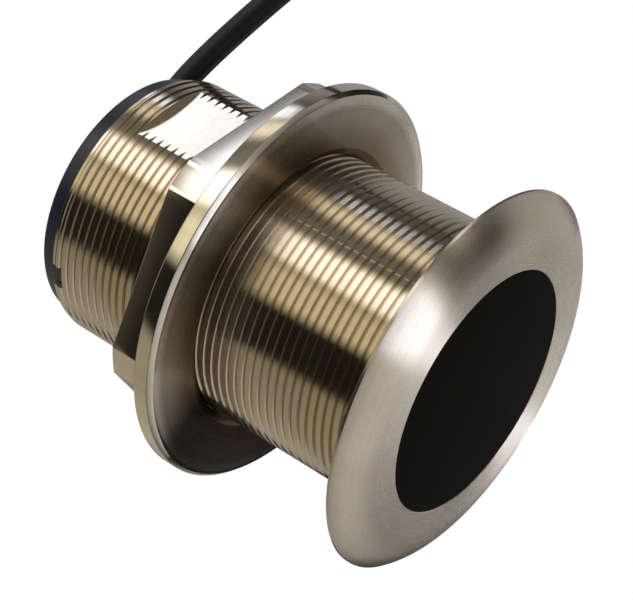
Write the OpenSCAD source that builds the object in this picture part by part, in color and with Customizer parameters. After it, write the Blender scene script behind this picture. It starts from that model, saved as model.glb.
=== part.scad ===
// Through-hull sonar transducer: a bronze mushroom housing with a threaded stem,
// a flanged hull nut, a black acoustic window and a cable that leaves the rear cap.
// The housing stands on its face: z = 0 is the window's face, +Z runs up the stem.

/* [Stem] */
// Crest diameter of the stem's thread
stem_d = 59.7; // [54:0.1:66]
// Length from the window's face to the rear end
stem_l = 88; // [84:1:110]
// Thread pitch
thread_pitch = 2; // [1.5:0.25:2.5]
// Wall between the thread's root and the bore
stem_wall = 4.15; // [3.5:0.05:5]
// Plain land behind the last thread
rear_land = 0.9; // [0.5:0.1:2]
// How far the plain land lies below the crests
rear_land_drop = 0.3; // [0.1:0.05:0.6]

/* [Wrench flats and keyway] */
// Depth of the two wrench flats below the crests
flat_depth = 1.58; // [1.3:0.01:2]
// Length of the wrench flats along the stem
flat_l = 27; // [20:1:30]
// Full thread left between the flats and the rear end
flat_land = 6.8; // [5:0.1:10]
// Width of the keyway in the rear rim
key_w = 5.4; // [4:0.1:8]
// Depth of the keyway
key_depth = 3; // [2:0.1:4]

/* [Flange] */
// Height of the flange, face to back
flange_t = 5; // [4.5:0.1:8]
// Thickness left at the rim
flange_rim_t = 0.7; // [0.5:0.1:1.5]
// Flat ring between the window and the crown
face_land = 5.4; // [3:0.1:7]
// Width of the rounded crown that falls away to the rim
crown_w = 9.5; // [8:0.1:14]

/* [Hull nut] */
// Radial clearance between the crests and the nut's bore
nut_clearance = 0.3; // [0.2:0.05:0.6]
// Wall from the nut's bore to the flats of its hexagon
nut_wall = 6.35; // [5:0.05:9]
// How far the turned corners stand out beyond the flats
nut_corner = 3.8; // [2:0.1:4.5]
// How far the nut's washer flange stands out beyond the corners
nut_lip = 3.9; // [2:0.1:6]
// Thickness of the washer flange
nut_flange_t = 4.3; // [3:0.1:7]
// Height of the hexagon above the washer flange
nut_hex_h = 9.4; // [7:0.1:12]
// Bevel round the clamping face
nut_bevel = 1.3; // [0.5:0.1:2]
// Gap for the hull between the flange and the nut
hull_gap = 41.8; // [30:0.1:44]

/* [Window and element] */
// Thickness of the acoustic window
window_t = 4; // [3.5:0.1:4.4]
// Ledge that the window's edge seats on
window_ledge = 2.1; // [1.5:0.1:3]
// Thickness of the piezo element
element_t = 10; // [8:0.5:12]
// Thickness of the isolation sleeve round the element
sleeve_t = 3.2; // [2.8:0.1:4.5]
// Thickness of the backing pad
backing_t = 5; // [3:0.5:7]
// Diameter of the element's leads
lead_d = 1.2; // [0.8:0.1:1.6]
// Distance of each element lead from the stem's axis
lead_reach = 9; // [6:0.5:12]
// Diameter of the temperature sensor's bead
bead_d = 2.4; // [1.6:0.1:2.6]
// Length of the temperature sensor's bead
bead_l = 4; // [3:0.5:6]
// Diameter of the temperature sensor's leads
bead_lead_d = 0.6; // [0.4:0.1:0.7]
// Distance of the temperature sensor's bead from the window
bead_standoff = 1; // [0.5:0.1:2]

/* [Electronics] */
// Length of the front potting between the backing pad and the board
front_fill_l = 27; // [22:1:28]
// Thickness of the circuit board
board_t = 1.6; // [1:0.1:2]
// Gap round the circuit board
board_gap = 0.5; // [0.3:0.1:1]
// Diameter of the transformer's pot core
core_d = 22; // [18:0.5:24]
// Height of one half of the pot core
core_half_h = 6.7; // [5.5:0.1:8]
// Diameter of the pot core's centre post
core_post_d = 9.4; // [7:0.1:10]
// Thickness of the pot core's wall and floor
core_wall = 2; // [1.5:0.1:2.5]
// Width of the slots that let the winding's ends out
core_slot_w = 3; // [2:0.5:4]
// Wall of the coil former
former_wall = 0.8; // [0.5:0.1:1]
// Distance of the pot core's axis from the stem's axis
core_offset = 7; // [5:0.5:8]
// Length of the identity chip
chip_l = 4.9; // [3:0.1:6]
// Width of the identity chip
chip_w = 3.9; // [2:0.1:4]
// Height of the identity chip
chip_h = 1.5; // [0.8:0.1:2]
// Diameter of one insulated conductor of the cable
conductor_d = 1.4; // [1:0.1:1.6]
// Length of the bared conductors above the board
conductor_l = 20; // [10:1:21]

/* [Rear cap] */
// Depth of the cap's spigot in the bore
spigot_l = 5; // [4:0.5:7]
// Thickness of the cap above the rear rim
cap_t = 4.3; // [3:0.1:6]
// How far the cap's edge lies inside the thread's root
cap_inset = 0.5; // [0.3:0.05:3]
// Radius of the cap's rounded edge
cap_edge = 1; // [0.5:0.1:2.5]
// Clearance round the spigot and the key
cap_clearance = 0.2; // [0.1:0.05:0.4]
// Height of the cable's axis above the rear rim
exit_h = 11.75; // [9.5:0.25:14]
// Width of the cap's cable hump
hump_w = 12; // [10:0.5:14]
// Distance from the stem's axis to the hump's mouth
hump_reach = 8; // [6:0.5:12]
// Bend radius of the moulded-in cable elbow
elbow_r = 11; // [8:0.5:12]
// Length of the strain relief outside the hump
relief_l = 10; // [6:0.5:14]
// Wall of the strain relief at its root
relief_root = 2; // [1.5:0.1:3]
// Wall of the strain relief at its tip
relief_tip = 0.9; // [0.6:0.1:1.2]

/* [Cable] */
// Diameter of the cable
cable_d = 5.8; // [4.5:0.1:6]
// Heading of the cable, counted from +X
cable_heading = 48; // [0:1:90]
// Sideways place of the cable's exit
cable_lane = 4; // [0:0.25:5]
// Diameter of the coil at the middle of its turns
coil_mean_d = 80; // [74:1:110]
// Turns side by side in the coil
coil_columns = 5; // [4:1:7]
// Layers of turns in the coil
coil_layers = 8; // [4:2:10]
// Thickness of the coil's ties
tie_t = 0.8; // [0.5:0.1:1.2]
// Width of each tie
tie_w = 8; // [5:0.5:12]
// Number of ties round the coil
tie_count = 4; // [2:1:4]
// Distance from the stem's axis to the coil's axis along the cable's heading
coil_out = 153; // [140:1:180]
// Length from the coil's axis to the connector's boot
lead_l = 40; // [36:1:60]

/* [Connector] */
// Length of the connector's boot
boot_l = 18; // [14:1:24]
// Diameter of the connector's barrel
barrel_d = 18.4; // [16:0.2:22]
// Length of the connector's shell
shell_l = 26; // [22:1:30]
// Width of the shell's shoulder and of its retaining flange beyond the barrel
shell_step = 1.2; // [0.8:0.1:1.6]
// Length of the shell's shoulder
shoulder_l = 4; // [3:0.5:6]
// Length of the ring's inner lip between shoulder and retaining flange
ring_lip_l = 5; // [3:0.5:6]
// Thickness of the retaining flange
retainer_t = 1.5; // [1:0.1:2]
// Running clearance of the coupling ring
ring_clearance = 0.4; // [0.3:0.05:0.5]
// Wall of the coupling ring
ring_wall = 1.3; // [1.1:0.1:2]
// How far the coupling ring reaches past the shell
ring_front = 2; // [1:0.5:4]
// Number of grip flutes on the coupling ring
flute_count = 16; // [8:1:20]
// Radius of a grip flute
flute_r = 0.9; // [0.5:0.1:1]
// Wall of the shell's front socket
socket_wall = 1.6; // [1.2:0.1:2]
// Depth of the shell's front socket
socket_l = 14; // [12:1:16]
// Thickness of the insulating insert
insert_t = 8; // [6:0.5:9]
// Diameter of one contact pin
contact_d = 1.2; // [0.8:0.1:1.4]
// Length of a contact pin in front of the insert
contact_l = 4.5; // [3:0.5:5]
// Number of contact pins round the centre one
contact_count = 6; // [4:1:7]
// Distance of the contact pins from the connector's axis
contact_reach = 4.6; // [3:0.1:5]
// Air under the coupling ring where the connector lies
ring_air = 0.5; // [0.3:0.1:2]

/* [Hidden] */
$fn = 96;
eps = 0.01;
// Bond line between a piece and the pocket that holds it
bond = 0.05;

stem_r = stem_d / 2;
thread_depth = 0.6 * thread_pitch;
root_r = stem_r - thread_depth;
bore_r = root_r - stem_wall;
crest_w = thread_pitch / 8;
flank_w = thread_depth * tan(30);
root_w = thread_pitch - crest_w - 2 * flank_w;
thread_count = floor((stem_l - flange_t - rear_land) / thread_pitch);
thread_end = flange_t + thread_count * thread_pitch;
land_r = stem_r - rear_land_drop;
flat_r = stem_r - flat_depth;
flat_top = stem_l - flat_land;

window_r = bore_r + window_ledge;
face_flat_r = window_r + face_land;
flange_r = face_flat_r + crown_w;
crown_drop = flange_t - flange_rim_t;
crown_r = (crown_w * crown_w + crown_drop * crown_drop) / (2 * crown_drop);

nut_z = flange_t + hull_gap;
nut_bore_r = stem_r + nut_clearance;
nut_flat_r = nut_bore_r + nut_wall;
nut_corner_r = nut_flat_r + nut_corner;
nut_flange_r = nut_corner_r + nut_lip;

element_r = bore_r - sleeve_t;
pad_z = window_t + element_t;
fill_z = pad_z + backing_t;
board_z = fill_z + front_fill_l;
board_top = board_z + board_t;
board_r = bore_r - board_gap;
lead_r = lead_d / 2;
// Places of the element's two leads and of the temperature sensor round the stem's axis
lead_angles = [100, 280];
bead_r = bead_d / 2;
bead_reach = element_r + sleeve_t / 2;
bead_angle = 190;

core_r = core_d / 2;
core_h = 2 * core_half_h;
core_ring_r = core_r - core_wall;
core_post_r = core_post_d / 2;
former_inner_r = core_post_r + bond;
former_outer_r = core_ring_r - bond;
former_z = board_top + core_wall + bond;
former_h = core_h - 2 * core_wall - 2 * bond;
winding_r = former_outer_r - former_wall;
// Corner of the identity chip on the board, clear of the pot core
chip_place = [-4, -15];
chip_size = [chip_l, chip_w, chip_h];
conductor_r = conductor_d / 2;
conductor_count = 3;
// Distance of each conductor from the cable's axis, so that the three lie side by side
conductor_reach = 0.75 * conductor_d;

cap_z = stem_l - spigot_l;
cap_r = root_r - cap_inset;
cap_top = stem_l + cap_t;
spigot_r = bore_r - cap_clearance;
exit_z = stem_l + exit_h;
hump_r = hump_w / 2;
cable_r = cable_d / 2;
tail_out = -elbow_r;
tail_z = board_top + conductor_l;
relief_end = hump_reach + relief_l;

coil_w = coil_columns * cable_d;
coil_h = coil_layers * cable_d;
coil_inner_r = coil_mean_d / 2 - coil_w / 2;
outer_turn_r = coil_mean_d / 2 + coil_w / 2 - cable_r;
coil_place = [coil_out, cable_lane + outer_turn_r];
coil_base = tie_t;
coil_top_turn = coil_base + coil_h - cable_r;
coil_low_turn = coil_base + cable_r;
tie_angle = tie_w / (coil_mean_d / 2) * 180 / PI;
// Place of the first tie, clear of where the cable enters and leaves the coil
tie_start = -54;

barrel_r = barrel_d / 2;
shoulder_r = barrel_r + shell_step;
lip_z = boot_l + shoulder_l + ring_clearance;
retainer_z = lip_z + ring_lip_l + ring_clearance;
ring_inner_r = shoulder_r + ring_clearance;
ring_r = ring_inner_r + ring_wall;
shell_end = boot_l + shell_l;
socket_z = shell_end - socket_l;
socket_r = barrel_r - socket_wall;
contact_r = contact_d / 2;
connector_out = coil_out - lead_l;
connector_place = [connector_out, coil_place[1] + outer_turn_r, ring_r + ring_air];

// Shape of the cable's fall from the strain relief to the coil, as shares of its way out and of its drop
fall_shape = [
    [0, 0], [0.044, 0.015], [0.095, 0.051], [0.153, 0.103], [0.226, 0.176], [0.307, 0.265], [0.387, 0.367],
    [0.467, 0.485], [0.547, 0.617], [0.628, 0.735], [0.708, 0.838], [0.796, 0.926], [0.891, 0.985], [1, 1]
];
// Shape of the short lead's rise from the coil to the connector, in the same shares
rise_shape = [[0, 0], [0.25, 0.115], [0.5, 0.5], [0.75, 0.88], [0.925, 1], [1, 1]];
// Straight start of the cable at the strain relief
straight_l = 3;

// Points from one place to another in the same lane, with the given shares of the way and of the height
function shaped_route(shape, from, to) =
    [for (share = shape) [
        from[0] + share[0] * (to[0] - from[0]),
        from[1],
        from[2] + share[1] * (to[2] - from[2])
    ]];

cable_route = concat(
    [[relief_end, cable_lane, exit_z]],
    shaped_route(
        fall_shape,
        [relief_end + straight_l, cable_lane, exit_z],
        [coil_out, cable_lane, coil_top_turn]
    )
);
lead_route = shaped_route(rise_shape, [coil_out, connector_place[1], coil_low_turn], connector_place);
tube_sides = 10;

// Turns its children from the cable's own axes to the part's axes
module toward_cable() {
    rotate([0, 0, cable_heading]) children();
}

// Lays its children down so that their +Z runs along the connector
module on_connector() {
    toward_cable() translate(connector_place) rotate([0, -90, 0]) children();
}

module at_angle(angle, reach) {
    rotate([0, 0, angle]) translate([reach, 0, 0]) children();
}

// Right half of the ring thread's outline, from the axis out; a full crest meets the flange
module stem_outline() {
    thread = [for (i = [0 : thread_count - 1])
        let (z = flange_t + i * thread_pitch)
        each [
            [stem_r, z],
            [stem_r, z + crest_w],
            [root_r, z + crest_w + flank_w],
            [root_r, z + crest_w + flank_w + root_w]
        ]
    ];
    polygon(concat(
        [[0, 0], [stem_r, 0]],
        thread,
        [[land_r, thread_end], [land_r, stem_l], [0, stem_l]]
    ));
}

// Flat face ring and the crown that falls away to a thin rim
module flange_outline() {
    intersection() {
        square([flange_r, flange_t]);
        union() {
            square([face_flat_r, flange_t]);
            translate([face_flat_r, crown_r]) circle(crown_r);
        }
    }
}

module housing() {
    color("#b9a98c") difference() {
        rotate_extrude() difference() {
            union() {
                stem_outline();
                flange_outline();
            }
            translate([0, -eps]) square([window_r, window_t + eps]);
            square([bore_r, stem_l + eps]);
        }
        for (turn = [0, 180])
            rotate([0, 0, turn])
                translate([flat_r, -stem_r, flat_top - flat_l]) cube([stem_r, stem_d, flat_l]);
        translate([-key_w / 2, -stem_d, stem_l - key_depth]) cube([key_w, stem_d, key_depth + eps]);
    }
}

module hull_nut() {
    color("#b9a98c") translate([0, 0, nut_z]) difference() {
        union() {
            rotate_extrude() polygon([
                [0, 0],
                [nut_flange_r - nut_bevel, 0],
                [nut_flange_r, nut_bevel],
                [nut_flange_r, nut_flange_t],
                [0, nut_flange_t]
            ]);
            intersection() {
                rotate([0, 0, 30])
                    cylinder(r = nut_flat_r / cos(30), h = nut_flange_t + nut_hex_h, $fn = 6);
                cylinder(r = nut_corner_r, h = nut_flange_t + nut_hex_h);
            }
        }
        translate([0, 0, -eps])
            cylinder(r = nut_bore_r, h = nut_flange_t + nut_hex_h + 2 * eps);
    }
}

module acoustic_window() {
    color("#15130f") cylinder(r = window_r - bond, h = window_t);
}

module piezo_disc() {
    color("#d8cfb8") translate([0, 0, window_t]) cylinder(r = element_r, h = element_t);
}

// Hole along the stem for the temperature sensor and its leads
module bead_hole(z, h) {
    at_angle(bead_angle, bead_reach) translate([0, 0, z - eps]) cylinder(r = bead_r + bond, h = h + 2 * eps);
}

module lead_holes(z, h) {
    for (angle = lead_angles)
        at_angle(angle, lead_reach) translate([0, 0, z - eps]) cylinder(r = lead_r + bond, h = h + 2 * eps);
}

module isolation_sleeve() {
    color("#9b7b52") difference() {
        translate([0, 0, window_t]) cylinder(r = bore_r - bond, h = element_t);
        translate([0, 0, window_t - eps]) cylinder(r = element_r + bond, h = element_t + 2 * eps);
        bead_hole(window_t, element_t);
    }
}

module backing_pad() {
    color("#8a6a45") difference() {
        translate([0, 0, pad_z]) cylinder(r = bore_r - bond, h = backing_t);
        lead_holes(pad_z, backing_t);
        bead_hole(pad_z, backing_t);
    }
}

module element_lead(angle) {
    at_angle(angle, lead_reach) translate([0, 0, pad_z]) cylinder(r = lead_r, h = board_z - pad_z);
}

module lead_hot() {
    color("#b3261e") element_lead(lead_angles[0]);
}

module lead_return() {
    color("#202020") element_lead(lead_angles[1]);
}

module thermistor() {
    color("#2c2a28") at_angle(bead_angle, bead_reach) translate([0, 0, window_t + bead_standoff])
        cylinder(r = bead_r, h = bead_l);
}

module thermistor_leads() {
    lead_z = window_t + bead_standoff + bead_l;
    color("#c8c8c4") at_angle(bead_angle, bead_reach)
        for (side = [-1, 1])
            translate([0, side * bead_r / 2, lead_z]) cylinder(d = bead_lead_d, h = board_z - lead_z);
}

module potting_front() {
    color("#3a3732") difference() {
        translate([0, 0, fill_z]) cylinder(r = bore_r - bond, h = front_fill_l);
        lead_holes(fill_z, front_fill_l);
        bead_hole(fill_z, front_fill_l);
    }
}

module circuit_board() {
    color("#1f6b3a") translate([0, 0, board_z]) cylinder(r = board_r, h = board_t);
}

// One cup of the pot core, standing on its floor with its mouth up
module core_half() {
    difference() {
        cylinder(r = core_r, h = core_half_h);
        difference() {
            translate([0, 0, core_wall]) cylinder(r = core_ring_r, h = core_half_h);
            cylinder(r = core_post_r, h = core_half_h + eps);
        }
        for (turn = [0, 180])
            rotate([0, 0, turn]) translate([core_post_r + core_wall, -core_slot_w / 2, core_wall])
                cube([core_r, core_slot_w, core_half_h]);
    }
}

module at_core(z) {
    toward_cable() translate([core_offset, 0, z]) children();
}

module core_lower() {
    color("#4a4a4e") at_core(board_top) core_half();
}

module core_upper() {
    color("#4a4a4e") at_core(board_top + core_h) mirror([0, 0, 1]) core_half();
}

module coil_former() {
    color("#e6e0d0") at_core(former_z) difference() {
        cylinder(r = former_outer_r, h = former_h);
        translate([0, 0, -eps]) cylinder(r = former_inner_r, h = former_h + 2 * eps);
        translate([0, 0, former_wall]) difference() {
            cylinder(r = former_outer_r + eps, h = former_h - 2 * former_wall);
            cylinder(r = former_inner_r + former_wall, h = former_h);
        }
    }
}

module winding() {
    color("#b5652b") at_core(former_z + former_wall + bond) difference() {
        cylinder(r = winding_r, h = former_h - 2 * former_wall - 2 * bond);
        translate([0, 0, -eps]) cylinder(r = former_inner_r + former_wall + bond, h = former_h);
    }
}

module id_chip() {
    color("#18181a") toward_cable() translate([chip_place[0], chip_place[1], board_top]) cube(chip_size);
}

module cable_conductors() {
    color("#d9d4c4") toward_cable() translate([tail_out, cable_lane, board_top])
        for (i = [0 : conductor_count - 1])
            at_angle(i * 360 / conductor_count, conductor_reach)
                cylinder(r = conductor_r, h = conductor_l);
}

// The path that the cable takes through the cap: up, round the elbow and out
module tail_path(r, from_z, to_out) {
    toward_cable() translate([0, cable_lane, 0]) {
        translate([tail_out, 0, from_z]) cylinder(r = r, h = exit_z - elbow_r - from_z);
        translate([0, 0, exit_z - elbow_r]) rotate([90, 0, 0])
            rotate_extrude(angle = 90, start = 90) translate([elbow_r, 0]) circle(r);
        translate([0, 0, exit_z]) rotate([0, 90, 0]) cylinder(r = r, h = to_out);
    }
}

module cable_tail() {
    color("#17171a") tail_path(cable_r, tail_z, relief_end);
}

module potting_rear() {
    color("#2f2d2a") difference() {
        translate([0, 0, board_z]) cylinder(r = bore_r - bond, h = cap_z - board_z);
        translate([0, 0, board_z - eps]) cylinder(r = board_r + bond, h = board_t + bond + eps);
        at_core(board_top) cylinder(r = core_r + bond, h = core_h + bond);
        toward_cable() translate([chip_place[0] - bond, chip_place[1] - bond, board_top])
            cube([chip_size[0] + 2 * bond, chip_size[1] + 2 * bond, chip_size[2] + bond]);
        toward_cable() translate([tail_out, cable_lane, board_top])
            cylinder(r = cable_r + bond, h = cap_z - board_top + eps);
    }
}

// Cap plate with a rounded upper edge, standing on the rear rim
module cap_plate() {
    rotate_extrude() union() {
        square([cap_r - cap_edge, cap_t]);
        square([cap_r, cap_t - cap_edge]);
        translate([cap_r - cap_edge, cap_t - cap_edge]) circle(cap_edge);
    }
}

// Rounded hump that covers the elbow and opens toward the cable
module cable_hump() {
    toward_cable() translate([0, cable_lane, 0]) {
        translate([tail_out, -hump_r, stem_l]) cube([hump_reach - tail_out, hump_w, exit_h]);
        translate([tail_out, 0, stem_l]) cylinder(r = hump_r, h = exit_h);
        translate([tail_out, 0, exit_z]) rotate([0, 90, 0])
            cylinder(r = hump_r, h = hump_reach - tail_out);
        translate([tail_out, 0, exit_z]) sphere(hump_r);
    }
}

module rear_cap() {
    color("#1a1b1f") difference() {
        union() {
            translate([0, 0, stem_l]) cap_plate();
            translate([0, 0, cap_z]) cylinder(r = spigot_r, h = spigot_l + eps);
            cable_hump();
            translate([-key_w / 2 + cap_clearance, -root_r + cap_clearance, stem_l - key_depth + cap_clearance])
                cube([key_w - 2 * cap_clearance, root_r - spigot_r + cap_clearance, key_depth]);
        }
        tail_path(cable_r + bond, cap_z - eps, hump_reach + eps);
    }
}

module strain_relief() {
    color("#17171a") toward_cable() translate([hump_reach, cable_lane, exit_z]) rotate([0, 90, 0])
        difference() {
            cylinder(r1 = cable_r + relief_root, r2 = cable_r + relief_tip, h = relief_l);
            translate([0, 0, -eps]) cylinder(r = cable_r + bond, h = relief_l + 2 * eps);
        }
}

function unit(v) = v / norm(v);

function heading_at(path, i) =
    unit(path[min(i + 1, len(path) - 1)] - path[max(i - 1, 0)]);

// Ring of points square to a path that stays in one lane
function path_ring(path, i, r) =
    let (along = heading_at(path, i), across = [0, 1, 0], up = cross(along, across))
    [for (k = [0 : tube_sides - 1])
        path[i] + r * (cos(360 * k / tube_sides) * across + sin(360 * k / tube_sides) * up)];

// Closed tube swept along a path
module tube(path, r) {
    last = len(path) - 1;
    points = [for (i = [0 : last]) each path_ring(path, i, r)];
    walls = [for (i = [0 : last - 1], k = [0 : tube_sides - 1])
        let (a = i * tube_sides + k, b = i * tube_sides + (k + 1) % tube_sides)
        each [[a, b, a + tube_sides], [b, b + tube_sides, a + tube_sides]]
    ];
    near_end = [for (k = [0 : tube_sides - 1]) tube_sides - 1 - k];
    far_end = [for (k = [0 : tube_sides - 1]) last * tube_sides + k];
    polyhedron(points, concat(walls, [near_end, far_end]));
}

module cable() {
    color("#17171a") toward_cable() tube(cable_route, cable_r);
}

module cable_lead() {
    color("#17171a") toward_cable() tube(lead_route, cable_r);
}

// Section of the wound turns, grown by a margin on every side
module coil_section(margin) {
    low = [coil_inner_r - margin, coil_base - margin];
    size = [coil_w + 2 * margin, coil_h + 2 * margin];
    translate(low + [cable_r, 0]) square(size - [cable_d, 0]);
    translate(low + [0, cable_r]) square(size - [0, cable_d]);
    for (x = [cable_r, size[0] - cable_r], y = [cable_r, size[1] - cable_r])
        translate(low + [x, y]) circle(cable_r);
}

module at_coil() {
    toward_cable() translate([coil_place[0], coil_place[1], 0]) children();
}

module cable_coil() {
    color("#17171a") at_coil() rotate_extrude() coil_section(0);
}

module coil_ties() {
    color("#2a2a2d") at_coil()
        for (i = [0 : tie_count - 1])
            rotate([0, 0, tie_start + 360 * i / tie_count]) rotate_extrude(angle = tie_angle)
                difference() {
                    coil_section(tie_t);
                    coil_section(bond);
                }
}

module connector_boot() {
    color("#1c1c1f") on_connector()
        cylinder(r1 = cable_r + relief_tip, r2 = barrel_r - shell_step, h = boot_l);
}

module connector_shell() {
    color("#242428") on_connector() difference() {
        union() {
            translate([0, 0, boot_l]) cylinder(r = barrel_r, h = shell_l);
            translate([0, 0, boot_l]) cylinder(r = shoulder_r, h = shoulder_l);
            translate([0, 0, retainer_z]) cylinder(r = shoulder_r, h = retainer_t);
        }
        translate([0, 0, socket_z]) cylinder(r = socket_r, h = socket_l + eps);
    }
}

module connector_insert() {
    color("#3d3d42") on_connector() translate([0, 0, socket_z]) cylinder(r = socket_r - bond, h = insert_t);
}

module connector_contacts() {
    color("#c9a24a") on_connector() translate([0, 0, socket_z + insert_t]) {
        cylinder(r = contact_r, h = contact_l);
        for (i = [0 : contact_count - 1])
            at_angle(i * 360 / contact_count, contact_reach) cylinder(r = contact_r, h = contact_l);
    }
}

module coupling_ring() {
    ring_l = shell_end + ring_front - lip_z;
    color("#2c2c31") on_connector() translate([0, 0, lip_z]) difference() {
        cylinder(r = ring_r, h = ring_l);
        translate([0, 0, -eps]) cylinder(r = barrel_r + ring_clearance, h = ring_l + 2 * eps);
        translate([0, 0, ring_lip_l]) cylinder(r = ring_inner_r, h = ring_l);
        for (i = [0 : flute_count - 1])
            at_angle(i * 360 / flute_count, ring_r) translate([0, 0, -eps])
                cylinder(r = flute_r, h = ring_l + 2 * eps);
    }
}

housing();
hull_nut();
acoustic_window();
piezo_disc();
isolation_sleeve();
backing_pad();
lead_hot();
lead_return();
thermistor();
thermistor_leads();
potting_front();
circuit_board();
core_lower();
core_upper();
coil_former();
winding();
id_chip();
cable_conductors();
cable_tail();
potting_rear();
rear_cap();
strain_relief();
cable();
cable_coil();
coil_ties();
cable_lead();
connector_boot();
connector_shell();
connector_insert();
connector_contacts();
coupling_ring();
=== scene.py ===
from math import atan2, cos, degrees, pi, radians, sin, sqrt, tan

import bmesh
import bpy
from mathutils import Matrix, Vector


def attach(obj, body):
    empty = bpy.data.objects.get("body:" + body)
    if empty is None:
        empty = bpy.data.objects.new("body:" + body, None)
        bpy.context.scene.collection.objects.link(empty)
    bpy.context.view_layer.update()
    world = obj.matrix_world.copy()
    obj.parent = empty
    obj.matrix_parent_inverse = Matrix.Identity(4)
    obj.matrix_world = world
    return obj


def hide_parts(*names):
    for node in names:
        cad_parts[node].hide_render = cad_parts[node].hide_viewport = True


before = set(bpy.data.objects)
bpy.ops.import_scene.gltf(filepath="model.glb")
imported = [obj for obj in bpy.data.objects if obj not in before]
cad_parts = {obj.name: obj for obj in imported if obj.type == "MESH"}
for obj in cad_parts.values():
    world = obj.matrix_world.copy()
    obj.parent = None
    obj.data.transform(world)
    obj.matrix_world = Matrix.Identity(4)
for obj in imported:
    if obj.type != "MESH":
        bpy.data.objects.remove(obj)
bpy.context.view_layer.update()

# Through-hull sonar transducer standing on its face. Sizes are in millimetres, as in the part's source,
# and become metres when a mesh is finished.
MM = 0.001
scene = bpy.context.scene

STEM_R = 29.85
ROOT_R = 28.65
BORE_R = 24.5
STEM_L = 88.0
PITCH = 2.0
GROOVE_R = 29.3
CREST_W = 1.15
FLANK_W = 0.36
LAND_R = 29.55
LAND_Z = 87.0
FLAT_R = 28.27
FLAT_LOW = 54.2
FLAT_HIGH = 81.2
KEY_W = 5.4
KEY_DEPTH = 3.0

FLANGE_T = 5.0
FLANGE_R = 41.5
RIM_T = 0.7
FACE_FLAT_R = 32.0
CROWN_R = 12.64
WINDOW_R = 26.6
WINDOW_T = 4.0

NUT_LOW = 46.8
NUT_TOP = 60.5
NUT_SHELF = 51.1
NUT_BORE_R = 30.15
NUT_THREAD_R = 31.3
NUT_FLAT_R = 36.5
NUT_CORNER_R = 40.3
NUT_FLANGE_R = 44.2
NUT_BEVEL = 0.9
NUT_SHELF_R = 42.2
NUT_LIP_R = NUT_THREAD_R + 0.5
NUT_LIP_H = 0.9

CAP_R = 28.15
CAP_TOP = 92.3
CAP_EDGE = 1.0
SPIGOT_R = 24.3
SPIGOT_Z = 83.0
EXIT_Z = 99.75
HUMP_R = 6.0
HUMP_BACK = -11.0
HUMP_MOUTH = 8.0
RELIEF_END = 18.0

CABLE_D = 5.8
CABLE_R = CABLE_D / 2
CABLE_HEADING = radians(48)
CABLE_LANE = 4.0
COIL_OUT = 153.0
COIL_LANE = 55.6
COIL_BASE = 0.8
COIL_COLUMNS = 5
COIL_LAYERS = 8
COIL_TURNS = 39.5
OUTER_TURN_R = 51.6
INNER_TURN_R = 28.4
TOP_TURN_Z = 44.3
LOW_TURN_Z = 3.7
STRAIGHT_L = 3.0
FALL_SHAPE = [
    (0, 0), (0.044, 0.015), (0.095, 0.051), (0.153, 0.103), (0.226, 0.176), (0.307, 0.265), (0.387, 0.367),
    (0.467, 0.485), (0.547, 0.617), (0.628, 0.735), (0.708, 0.838), (0.796, 0.926), (0.891, 0.985), (1, 1),
]
RISE_SHAPE = [(0, 0), (0.25, 0.115), (0.5, 0.5), (0.75, 0.88), (0.925, 1), (1, 1)]
TIE_ANGLES = (-48.3, 41.7, 131.7, 221.7)
TIE_W = 8.0
TIE_T = 0.75

CONNECTOR_OUT = 113.0
CONNECTOR_LANE = 107.2
CONNECTOR_Z = 12.6
BOOT_L = 18.0
BOOT_R = 8.0
SHELL_R = 9.2
SHELL_END = 44.0
COLLAR_R = 10.4
COLLAR_END = 22.0
STOP_LOW = 27.8
STOP_HIGH = 29.3
SOCKET_R = 7.6
SOCKET_FLOOR = 30.0
INSERT_R = 7.5
INSERT_END = 38.0
INSERT_FACE = 37.6
PIN_R = 0.6
PIN_L = 4.6
PIN_REACH = 4.6
PIN_FOOT = 37.5
RING_R = 12.1
RING_BORE_R = 10.8
RING_LIP_R = 9.6
RING_LOW = 22.4
RING_LIP_END = 27.4
RING_HIGH = 46.0
FLUTES = 16
FLUTE_DEPTH = 0.85
GRIP_LOW = 23.4
GRIP_HIGH = 45.0

TO_CABLE = Matrix.Rotation(CABLE_HEADING, 4, "Z")
AT_COIL = TO_CABLE @ Matrix.Translation((COIL_OUT, COIL_LANE, 0))
AT_CONNECTOR = (
    TO_CABLE
    @ Matrix.Translation((CONNECTOR_OUT, CONNECTOR_LANE, CONNECTOR_Z))
    @ Matrix.Rotation(radians(-90), 4, "Y")
)
AT_EXIT = TO_CABLE @ Matrix.Translation((0, CABLE_LANE, EXIT_Z)) @ Matrix.Rotation(radians(90), 4, "Y")


def put_in_scene(name, data):
    thing = bpy.data.objects.new(name, data)
    scene.collection.objects.link(thing)
    return thing


# The photograph's camera: it looks up at the face from below the floor
CAMERA_PLACE = Vector((268.1, -238.9, -145.1))
CAMERA_RIGHT = Vector((0.0287, 0.6346, -0.7723))
CAMERA_UP = Vector((0.7486, 0.4983, 0.4373))
CAMERA_LENS = 111.98
SENSOR_W = 36


def photo_camera():
    right = CAMERA_RIGHT.normalized()
    back = right.cross(CAMERA_UP).normalized()
    up = back.cross(right)
    data = bpy.data.cameras.new("photo_camera")
    data.sensor_width = SENSOR_W
    data.lens = CAMERA_LENS
    camera = put_in_scene("photo_camera", data)
    turn = Matrix((right, up, back)).transposed().to_4x4()
    camera.matrix_world = Matrix.Translation(CAMERA_PLACE * MM) @ turn
    scene.camera = camera


photo_camera()


# Node trees for finishes and for shapes that follow a rule
def operation(name, swapped=False):
    """An operator method that makes a math node."""

    def method(wire, other):
        values = (other, wire) if swapped else (wire, other)
        return wire.tree.math(name, *values)

    return method


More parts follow.
